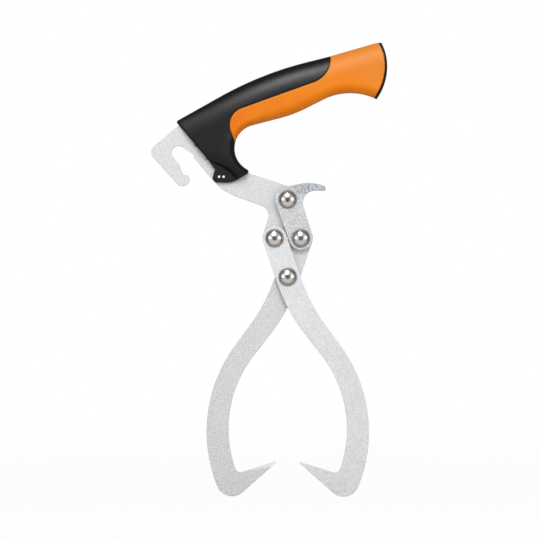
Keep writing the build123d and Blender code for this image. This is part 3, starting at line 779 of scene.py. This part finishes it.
def soft_orange(name, tone):
    """Soft orange grip: matt rubbery skin with a fine grain and faint mottling.

    It is deeper in front, and where it faces up it is painted paler and yellower, a painted sheen of the light
    from above, which near the butt takes in more of its sides.
    """
    finish = Finish(name)
    red, green, blue = tone
    grain = finish.noise(scale=1900.0, roughness=0.6)
    cloud = finish.noise(scale=45.0, detail=3.0)
    along = finish.axis(finish.place, "X")
    front = finish.step(along, -0.026, -0.044)
    butt = finish.step(along, 0.045, 0.072)
    up = finish.step(finish.facing("Z") + butt * 0.12, -0.06, 0.2)
    mottled = finish.blend(tone, (red * 1.04, green * 1.16, blue * 1.6), finish.step(cloud, 0.35, 0.65))
    deeper = finish.blend(mottled, (red, green * 0.94, 0.0), front)
    # painted sheen: the skin that faces up is painted paler and yellower, standing in for the light from above
    painted_sheen = finish.blend(deeper, (red * 0.98, green * 1.28, 0.028), up)
    return finish.set(
        Base_Color=finish.shade(painted_sheen, 0.97 + finish.swing(grain, 0.10)),
        Roughness=0.48 + finish.swing(cloud, 0.08),
        Normal=finish.bump(grain, strength=0.15, distance=0.00006),
        Specular_IOR_Level=0.13,
    )


class TONGS_OT_core(bpy.types.Operator):
    """Model the black core of the handle, with its guard, flat lobe, eyelets and nibs"""

    bl_idname = "tongs.core"
    bl_label = "Handle core"

    def execute(self, context):
        shape = HandleShape(context.scene.tongs_handle, context.scene.tongs_line)
        plans, edges = core_plans(shape)
        grids = []
        for plan in plans:
            grids += sides(plan, self.half_width(shape, plan))
        for edge in edges:
            grids.append(wall(*sides(edge, self.half_width(shape, edge))))
        grids += lobe_grids(shape) + nib_grids(shape)
        black = black_plastic("black_plastic", context.scene.tongs_finish.black, CORE_GLOSS)
        add_piece("handle_core_moulding", grids, black, "handle", ["handle_core"])
        return {"FINISHED"}

    def half_width(self, shape, plan):
        """Half width of the core: the handle's own, thinned to the lower rim, with its lip, edges and groove.

        The lip is a bell curve, h exp(-d^2), of the distance d from its crest over its half width.
        """
        sizes = shape.sizes
        half = shape.half_width(plan)
        lead = far_from(plan, shape.lead)
        above = np.minimum(far_from(plan, shape.rim), far_from(plan, shape.step))
        half = half * (sizes.rim_share + (1 - sizes.rim_share) * rolled(above / sizes.rim_depth, 2))
        crest = (far_from(plan, shape.guard_choil) - sizes.choil_depth) / sizes.lip_width
        fade = np.minimum(far_from(plan, shape.parting) / sizes.lip_width, 1)
        half = half + sizes.lip_height * np.exp(-crest**2) * fade * shape.relief_share(half)
        for edge, radius in ((above, sizes.rim_round), (lead, sizes.lead_round)):
            half = half - np.minimum(half, radius) * (1 - rolled(edge / radius, 2))
        return np.maximum(half - shape.seam_drop(plan, shape.parting) * shape.relief_share(half), 0)


def core_plans(shape):
    """Side-view grids of the core: the guard, the front behind the leading edge, and the strip under the back.

    The guard ends at a line from the ridge to the foot of the parting line. The front ends at a line from the
    parting line's front corner straight up to the back, where the strip begins. The edges are those that need
    a wall across the core: the guard's step and rim, the leading edge and the parting line. The last eighth of
    the parting line is the strip's rear end.
    """
    u, w = eased(CORE_ALONG, pull=0.8), eased(STRIP_ALONG, pull=0.5)
    low, rise, climb = near_start(GUARD_UP), np.linspace(0, 1, NECK_UP), near_end(BACK_UP)
    run = np.gradient(shape.parting, axis=0)
    corner = np.argmax(run[:, 0] > np.abs(run[:, 1]))
    knee = shape.parting[corner]
    tongue = corner + (len(shape.parting) - corner) * 7 // 8
    head = np.array([knee[0], np.interp(knee[0], shape.spine[:, 0], shape.spine[:, 1])])
    before = np.concatenate([shape.spine[shape.spine[:, 0] < head[0]], [head]])
    behind = np.concatenate([[head], shape.spine[shape.spine[:, 0] > head[0]]])
    cut = np.array([shape.step[-1], shape.parting[0]])
    top = np.array([knee, head])
    guard = coons(resample(shape.rim, u), resample(cut, u), resample(shape.step, low),
                  resample(shape.guard_choil, low), u, low)
    lower = shape.parting[:corner + 1]
    turn = path_length(lower) / (path_length(lower) + path_length(top))
    v = np.concatenate([turn * rise, (turn + (1 - turn) * climb)[1:]])
    right = np.concatenate([resample(lower, rise), resample(top, climb)[1:]])
    front = coons(resample(cut, u), resample(before, u), resample(shape.lead, v), right, u, v)
    strip = coons(resample(shape.parting[corner:tongue + 1], w), resample(behind, w), resample(top, climb),
                  resample(shape.parting[tongue:], climb), w, climb)
    edges = [guard[0], guard[:, 0], front[0], front[-1, :len(rise)], strip[:, 0], strip[-1]]
    return (guard, front, strip), edges


def nib_grids(shape):
    """Two small round nibs on each side of the plate, where the leading edge meets it.

    A nib is an ellipsoid, r (cos b cos a, sin b, cos b sin a), stretched to stand off the plate.
    """
    sizes = shape.sizes
    low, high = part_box("frame_plate")
    turns = np.linspace(0, math.tau, NIB_AROUND)
    heights = np.linspace(-math.pi / 2, math.pi / 2, NIB_UP)
    around, height = np.meshgrid(turns, heights, indexing="ij")
    ball = np.cos(height)[..., None] * np.stack([np.cos(around), np.sin(around)], -1)
    grids = []
    for step in (0, 1):
        spot = shape.lead_top + shape.lead_run * (sizes.nib_place + step * sizes.nib_spacing)
        for face in (low.y - sizes.nib_radius / 2, high.y + sizes.nib_radius / 2):
            reach = sizes.nib_stretch * sizes.nib_radius * np.sin(height)
            grids.append(sheet(spot + sizes.nib_radius * ball, face + reach))
    return grids


def star_radius(outline, centre, angle):
    """Distance from a centre to a closed outline around it, at given angles."""
    offset = outline - centre
    around = np.arctan2(offset[:, 1], offset[:, 0])
    order = np.argsort(around)
    return np.interp(angle, around[order], np.linalg.norm(offset, axis=1)[order], period=math.tau)


def eyelet_rings(sizes, side, oval):
    """Side-view grid from one eyelet's edge to the half of an oval on that side of the pair.

    A ray from the eyelet at angle a ends on the oval, where ((g + t cos a) / A)^2 + (t sin a / B)^2 = 1 with g
    half the spacing, or on the line between the eyelets, t = g / -cos a, whichever comes first.
    """
    g = sizes.eyelet_spacing / 2
    corner = math.atan2(oval[1], -g)
    angle = np.concatenate([np.linspace(-corner, corner, OVAL_ARC),
                            np.linspace(corner, math.tau - corner, OVAL_CHORD)[1:]])
    cos, sin = np.cos(angle), np.sin(angle)
    a = (cos / oval[0]) ** 2 + (sin / oval[1]) ** 2
    b = g * cos / oval[0] ** 2
    reach = (-b + np.sqrt(b * b - a * ((g / oval[0]) ** 2 - 1))) / a
    reach = np.minimum(reach, np.where(cos < 0, g / np.maximum(-cos, 1e-9), np.inf))
    t = np.linspace(0, 1, RING_OUT)[None]
    radius = sizes.eyelet_radius * (1 - t) + reach[:, None] * t
    grid = np.stack([side * (g + radius * cos[:, None]), radius * sin[:, None]], -1)
    return grid + np.array(sizes.eyelet)


def lobe_grids(shape):
    """Flat lobe with two through eyelets: rings round the eyelets, and one from their oval to a rounded rim."""
    sizes = shape.sizes
    lap = sizes.ridge_radius + sizes.lobe_lap
    edge = clip_path(shape.lobe_edge, lambda p: np.linalg.norm(p - shape.ridge, axis=1) < lap, LOBE_FINE)
    hidden = arc(shape.ridge, lap, polar(edge[-1], shape.ridge), polar(edge[0], shape.ridge))
    outline = resample(np.concatenate([edge, hidden[1:]]), np.linspace(0, 1, LOBE_AROUND))[:-1]
    eyelets = np.array(sizes.eyelet)
    middle = eyelets + np.array(sizes.lobe_middle)
    oval = (sizes.eyelet_spacing * sizes.oval_length, sizes.eyelet_radius * sizes.oval_height)
    rings = [eyelet_rings(sizes, side, oval) for side in (1, -1)]
    loop = np.concatenate([rings[0][:OVAL_ARC, -1], rings[1][:OVAL_ARC, -1][::-1][1:]])
    offset = loop - eyelets
    around = np.arctan2(offset[:, 1], offset[:, 0])
    rim = middle + star_radius(outline, middle, around)[:, None] * np.stack([np.cos(around), np.sin(around)], 1)
    t = eased(LOBE_OUT, pull=0.75)[None, :, None]
    plate = loop[:, None] * (1 - t) + rim[:, None] * t
    inset = np.linalg.norm(plate - rim[:, None], axis=-1)
    half = sizes.lobe_half - sizes.lobe_round * (1 - rolled(inset / sizes.lobe_round, 2))
    grids = [*sides(plate, half), wall(*sides(rim, half[:, -1]))]
    for ring in rings:
        flat = np.full(ring.shape[:2], sizes.lobe_half)
        grids += [*sides(ring, flat), wall(*sides(ring[:, 0], flat[:, 0]))]
    return grids


class TONGS_OT_grip(bpy.types.Operator):
    """Model the orange soft grip"""

    bl_idname = "tongs.grip"
    bl_label = "Soft grip"

    def execute(self, context):
        shape = HandleShape(context.scene.tongs_handle, context.scene.tongs_line)
        sizes = shape.sizes
        u, v = eased(GRIP_ALONG, pull=0.7), eased(GRIP_UP, pull=0.88)
        corner = len(shape.parting) // 5    # the first fifth of the parting line is the grip's front edge
        left = shape.parting[:corner + 1]
        top = np.concatenate([shape.parting[corner:], shape.grip_back[1:]])
        bottom = np.concatenate([shape.grip_choil, shape.grip_under[1:]])
        plan = coons(resample(bottom, u), resample(top, u), resample(left, v), resample(shape.seam, v), u, v)
        half = shape.half_width(plan)
        edge = np.minimum(far_from(plan, shape.parting), far_from(plan, shape.seam))
        proud = sizes.grip_proud * rolled(edge / sizes.grip_ease, 2)
        drop = shape.seam_drop(plan, shape.parting) + shape.seam_drop(plan, shape.seam)
        half = np.maximum(half + (proud - drop) * shape.relief_share(half), 0)
        front, rear = sides(plan, half)
        rows = (0, slice(None)), (-1, slice(None)), (slice(None), 0), (slice(None), -1)
        walls = [wall(front[row], rear[row]) for row in rows]
        orange = soft_orange("soft_orange", context.scene.tongs_finish.orange)
        add_piece("soft_grip_skin", [front, rear, *walls], orange, "handle", ["soft_grip"])
        return {"FINISHED"}


class TONGS_OT_cap(bpy.types.Operator):
    """Model the black butt cap"""

    bl_idname = "tongs.cap"
    bl_label = "Butt cap"

    def execute(self, context):
        line = context.scene.tongs_line
        shape = HandleShape(context.scene.tongs_handle, line)
        outer = shape.butt_arc(shape.sizes.butt_radius - WELD, shape.butt_bottom, shape.butt_top)
        seam, outer = (resample(row, eased(CAP_UP, pull=0.9)) for row in (shape.seam, outer))
        half = np.maximum(shape.half_width(seam) - line.cap_inset, 0)
        skin, inner = self.section(line, seam, outer, half)
        ends = [wall(skin[end], inner[end]) for end in (0, -1)]
        cap = black_plastic("cap_plastic", context.scene.tongs_finish.cap, CAP_GLOSS)
        add_piece("butt_cap_moulding", [skin, inner, *ends], cap, "handle", ["butt_cap"])
        return {"FINISHED"}

    def section(self, line, seam, outer, half):
        """Grids of the cap's outside and of its flat inside, from its seam and its outermost row.

        At an angle t, from minus to plus a quarter turn, the outside lies s = sign(t) |sin t|^p half widths
        across and |cos t|^p (1 - c s^2) of the way out, with p the cap's power and c its crown.
        """
        turn = np.linspace(-math.pi / 2, math.pi / 2, CAP_ACROSS)
        aside = np.sign(np.sin(turn)) * np.abs(np.sin(turn)) ** line.cap_power
        out = np.abs(np.cos(turn)) ** line.cap_power * (1 - line.cap_crown * aside**2)
        plan = seam[:, None] + (outer - seam)[:, None] * out[None, :, None]
        width = half[:, None] * aside
        return sheet(plan, width), sheet(np.broadcast_to(seam[:, None], plan.shape), width)


class TONGS_OT_rivets(bpy.types.Operator):
    """Turn the four shoulder rivets"""

    bl_idname = "tongs.rivets"
    bl_label = "Rivets"

    def execute(self, context):
        sizes = context.scene.tongs_rivet
        steel = polished_steel("polished_steel", context.scene.tongs_finish.rivet)
        for pivot in PIVOTS:
            node = pivot + "_rivet"
            low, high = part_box(node)
            centre = (low + high) / 2
            profile = rivet_profile(sizes, (high.x - low.x) / 2, low.y, high.y)
            radius, depth = profile[:, :1], profile[:, 1:]
            turn = np.linspace(0, math.tau, TURN_AROUND)[None]
            grid = np.stack([centre.x + radius * np.cos(turn), depth + 0 * turn,
                             centre.z + radius * np.sin(turn)], -1)
            add_piece(node + "_turned", [grid], steel, BODY_OF[node], [node])
        return {"FINISHED"}


def rivet_profile(sizes, radius, front, back):
    """Half section (radius, Y) of a rivet: domed head, broken rim, shank and a flatter dome behind.

    A head of radius R that rises h above its land has a dome of radius (R^2 + h^2) / 2h. The arc that breaks
    its rim touches the dome and the land, so its centre lies on the ray at the angle where the dome ends.
    """
    rise = sizes.head_height - sizes.land
    dome = (radius**2 + rise**2) / (2 * rise)
    inner = radius - sizes.rim_round
    meet = math.asin(inner / (dome - sizes.rim_round))
    tilt = np.linspace(0, meet, DOME_OUT)
    head = np.stack([dome * np.sin(tilt), front + dome * (1 - np.cos(tilt))], 1)
    tilt = np.linspace(meet, math.pi / 2, RIM_OUT)[1:]
    middle = front + dome - (dome - sizes.rim_round) * math.cos(meet)
    rim = np.stack([inner + sizes.rim_round * np.sin(tilt), middle - sizes.rim_round * np.cos(tilt)], 1)
    base = front + sizes.head_height
    under = np.array([[radius, base], [sizes.shoulder, base], [sizes.shoulder, back - sizes.tail_height]])
    r = np.linspace(sizes.tail_radius, 0, TAIL_OUT)
    tail_dome = (sizes.tail_radius**2 + sizes.tail_height**2) / (2 * sizes.tail_height)
    tail = np.stack([r, back - tail_dome + np.sqrt(tail_dome**2 - r**2)], 1)
    return np.concatenate([head, rim, under, tail])


class TONGS_OT_plates(bpy.types.Operator):
    """Finish the steel plates and the washers"""

    bl_idname = "tongs.plates"
    bl_label = "Plates and washers"

    TAIL = {"X": (-0.012, 0.016), "Z": (-0.0885, -0.083)}
    # painted light and shade: the levels paint one steel lighter or darker per plate for how the light falls on
    # it, and the facet values are partly painted light too
    LOOKS = {
        "frame_plate": {"level": 0.85, "speckle": 0.18},
        "trigger_lever": {"level": 0.748, "speckle": 0.28, "tail": TAIL},
        "front_jaw": {"level": 0.94, "speckle": 0.15, "facet_tone_and_painted_light": -0.12},
        "rear_jaw": {"level": 0.852, "speckle": 0.22, "facet_tone_and_painted_light": 0.05},
    }
    WASHER_LOOK = {"level": 0.7, "speckle": 0.05}

    def execute(self, context):
        tone = context.scene.tongs_finish.steel
        for node, look in self.LOOKS.items():
            self.dress(node, blasted_steel("blasted_steel_" + node, tone, **look))
        dull = blasted_steel("washer_steel", tone, **self.WASHER_LOOK)
        for pivot in PIVOTS:
            self.dress(pivot + "_washer", dull)
        return {"FINISHED"}

    def dress(self, node, material):
        """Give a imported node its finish."""
        mesh = frame["nodes"][node].data
        mesh.materials.clear()
        mesh.materials.append(material)


class TONGS_OT_studio(bpy.types.Operator):
    """Set the floor, the lamps, the tent, the white background and the camera"""

    bl_idname = "tongs.studio"
    bl_label = "Studio"

    # Rays that don't see the lamps and the tent.
    LAMPS = {"left": ("camera",), "right": ("camera",),
             "strip": ("camera", "diffuse"), "top": ("camera", "glossy")}
    TENT_HIDDEN = ("camera", "diffuse", "shadow", "transmission", "volume_scatter")
    # Sines below the level over which the table sets in, and half widths of the soft edges on the tent.
    TABLE_FADE, REAR_TABLE_FADE = (0.0, -0.25), (-0.2, -0.6)
    REAR_EDGE, OPENING_EDGE = 0.18, 0.03

    def execute(self, context):
        scene, studio = context.scene, context.scene.tongs_studio
        scene.view_settings.view_transform = "Standard"
        self.make_world(scene, studio)
        self.make_floor(studio)
        for lamp, rays in self.LAMPS.items():
            hide_from(self.add_lamp(lamp, studio), *rays)
        self.make_tent(studio)
        self.make_camera(scene, studio)
        return {"FINISHED"}

    def make_world(self, scene, studio):
        """White for camera, glossy and transmission rays, and an even grey light for the rest."""
        world = bpy.data.worlds.new("white_studio")
        scene.world = world
        world.use_nodes = True
        nodes = Nodes(world.node_tree)
        ambient = nodes.tree.nodes["Background"]
        nodes.put(ambient.inputs["Color"], WHITE)
        nodes.put(ambient.inputs["Strength"], studio.ambient)
        even = Signal(nodes, ambient.outputs[0])
        white = nodes.node("ShaderNodeBackground", {}, {"Color": WHITE})
        nodes.show("World Output", nodes.node("ShaderNodeMixShader", {}, {0: nodes.seen(), 1: even, 2: white}))

    def make_floor(self, studio):
        """Wide floor just under the jaws: white to the eye, with the shadow of the tongs let in near them."""
        side, level = studio.floor_half, CAD_BOX[0].z - studio.floor_gap
        corners = [(-side, -side, level), (side, -side, level), (side, side, level), (-side, side, level)]
        mesh = bpy.data.meshes.new("floor")
        mesh.from_pydata(corners, [], [(0, 1, 2, 3)])
        floor = add_object("floor", mesh)
        finish = Finish("pale_floor")
        cloud = finish.noise(scale=3.0)
        finish.set(Base_Color=finish.shade(studio.floor_tone, 0.98 + cloud * 0.04), Roughness=0.8)
        far = finish.vector("LENGTH", {0: finish.place}, "Value")
        shown = finish.seen() * finish.step(far, *studio.shadow_fade, first=studio.shadow_white)
        surface = Signal(finish, finish.surface.outputs[0])
        white = finish.node("ShaderNodeEmission", {}, {"Color": WHITE, "Strength": 1.0})
        both = finish.node("ShaderNodeMixShader", {}, {0: shown, 1: surface, 2: white})
        finish.show("Material Output", both)
        mesh.materials.append(finish.material)

    def make_tent(self, studio):
        """Studio tent that only reflections see, with an opening for the camera and a dark rear.

        A point in the direction that lies an angle a off the view's axis and t round it is one reach away, or
        as far as the floor where that comes first.
        """
        off = np.radians(np.linspace(0, 180, TENT_OFF))[:, None]
        turn = np.linspace(0, math.tau, TENT_AROUND)[None]
        aim = np.stack([np.sin(off) * np.cos(turn), -np.cos(off) + 0 * turn, np.sin(off) * np.sin(turn)], -1)
        drop = studio.view_centre[1] - CAD_BOX[0].z
        reach = np.minimum(studio.tent_reach, drop / np.maximum(-aim[..., 2], 1e-6))
        middle = self.middle(studio)
        grid = np.array(middle) + aim * reach[..., None]
        mesh = bpy.data.meshes.new("tent")
        mesh.from_pydata(grid.reshape(-1, 3), [], quad_faces(grid.shape[:2], 0))
        mesh.materials.append(self.tent_cloth(studio, middle))
        tent = add_object("tent", mesh)
        hide_from(tent, *self.TENT_HIDDEN)

    def middle(self, studio):
        """Middle of the view, in the plane of the plates."""
        return Vector((studio.view_centre[0], 0.0, studio.view_centre[1]))

    def tent_cloth(self, studio, middle):
        """Tone of the tent by direction: white in front, beige below, dark behind and in the opening."""
        finish = Finish("tent_cloth")
        aim = finish.vector("NORMALIZE", {0: finish.vector("SUBTRACT", {0: finish.place, 1: middle})})
        ahead, up = finish.axis(aim, "Y") * -1.0, finish.axis(aim, "Z")
        opening, rear = math.cos(studio.opening_angle), math.cos(studio.rear_angle)
        tone = finish.blend(studio.tent_tone, studio.table_tone, finish.step(up, *self.TABLE_FADE))
        back = finish.blend(studio.rear_tone, studio.rear_table_tone, finish.step(up, *self.REAR_TABLE_FADE))
        before = finish.step(ahead, rear - self.REAR_EDGE, rear + self.REAR_EDGE)
        inside = finish.step(ahead, opening - self.OPENING_EDGE, opening + self.OPENING_EDGE)
        tone = finish.blend(finish.blend(back, tone, before), studio.opening_tone, inside)
        glow = finish.node("ShaderNodeEmission", {}, {"Color": tone, "Strength": 1.0})
        finish.show("Material Output", glow)
        return finish.material

    def add_lamp(self, lamp, studio):
        """Soft rounded lamp of the studio's power, size and place for it, aimed at the tongs."""
        power, size, spot = (getattr(studio, f"{lamp}_{part}") for part in ("power", "size", "spot"))
        data = bpy.data.lights.new(lamp + "_box", "AREA")
        data.energy = power
        data.shape = "ELLIPSE"
        data.size, data.size_y = size
        made = add_object(data.name, data)
        made.location = spot
        made.rotation_euler = (self.middle(studio) - made.location).to_track_quat("-Z", "Y").to_euler()
        return made

    def make_camera(self, scene, studio):
        """Long-lens camera square to the plates, as far off as the view's width asks."""
        data = bpy.data.cameras.new("camera")
        data.lens = studio.lens
        data.clip_end = studio.sight
        distance = studio.view_width * studio.lens / data.sensor_width
        camera = add_object("camera", data)
        camera.location = (studio.view_centre[0], -distance, studio.view_centre[1])
        camera.rotation_euler = (math.pi / 2, 0, 0)
        scene.camera = camera


OPERATORS = (TONGS_OT_core, TONGS_OT_grip, TONGS_OT_cap, TONGS_OT_rivets, TONGS_OT_plates, TONGS_OT_studio)


class TONGS_PT_looks(bpy.types.Panel):
    """Sidebar list of the pieces"""

    bl_idname = "TONGS_PT_looks"
    bl_label = "Log Tongs"
    bl_space_type = "VIEW_3D"
    bl_region_type = "UI"
    bl_category = "Tongs"

    def draw(self, context):
        for operator in OPERATORS:
            self.layout.operator(operator.bl_idname)


GROUPS = {"tongs_handle": HandleSizes, "tongs_line": GripLine, "tongs_rivet": RivetSizes,
          "tongs_finish": Finishes, "tongs_studio": Studio}


def register():
    for name, group in GROUPS.items():
        bpy.utils.register_class(group)
        setattr(bpy.types.Scene, name, PointerProperty(type=group))
    for made in (*OPERATORS, TONGS_PT_looks):
        bpy.utils.register_class(made)


def unregister():
    for made in reversed((*OPERATORS, TONGS_PT_looks)):
        bpy.utils.unregister_class(made)
    for name, group in GROUPS.items():
        delattr(bpy.types.Scene, name)
        bpy.utils.unregister_class(group)


def main():
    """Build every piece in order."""
    register()
    bpy.ops.tongs.core()
    bpy.ops.tongs.grip()
    bpy.ops.tongs.cap()
    bpy.ops.tongs.rivets()
    bpy.ops.tongs.plates()
    bpy.ops.tongs.studio()


if __name__ == "__main__":
    main()
